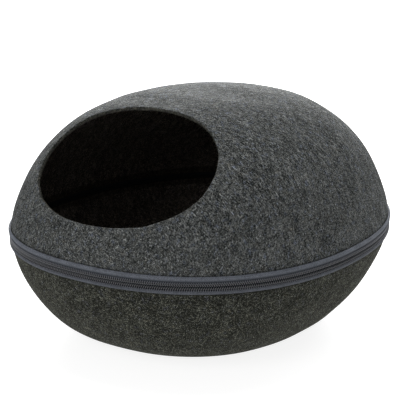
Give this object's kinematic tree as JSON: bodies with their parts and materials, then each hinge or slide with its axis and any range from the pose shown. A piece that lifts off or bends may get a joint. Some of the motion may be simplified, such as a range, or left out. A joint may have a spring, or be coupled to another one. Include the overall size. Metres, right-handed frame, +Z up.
{
  "type": "felt cat cave",
  "caption": "Egg-shaped cat cave of moulded felt with a large oval entrance, its upper and lower halves joined all round by a zip, on a flat base",
  "frame": {"origin": "middle of the bottom of the bounding box, on the surface that the cave stands on", "axes": "+Z up, +Y along the length towards the closed back, so the entrance faces -Y and up, and +X across the width"},
  "size_m": [0.3736, 0.4298, 0.243],
  "materials": {
    "felt": "mottled charcoal moulded felt, matt, with pale and dark fibres",
    "zip_tape": "slate blue-grey woven tape, matt",
    "zip_coil": "dark nylon coil, satin",
    "zip_metal": "dark enamelled zip metal, satin"
  },
  "bodies": {
    "root": {"dome": "felt", "bowl": "felt", "tape_upper": "zip_tape", "tape_lower": "zip_tape", "coil_upper": "zip_coil", "coil_lower": "zip_coil", "zip_slider": "zip_metal", "zip_pull": "zip_metal"}
  },
  "joints": []
}
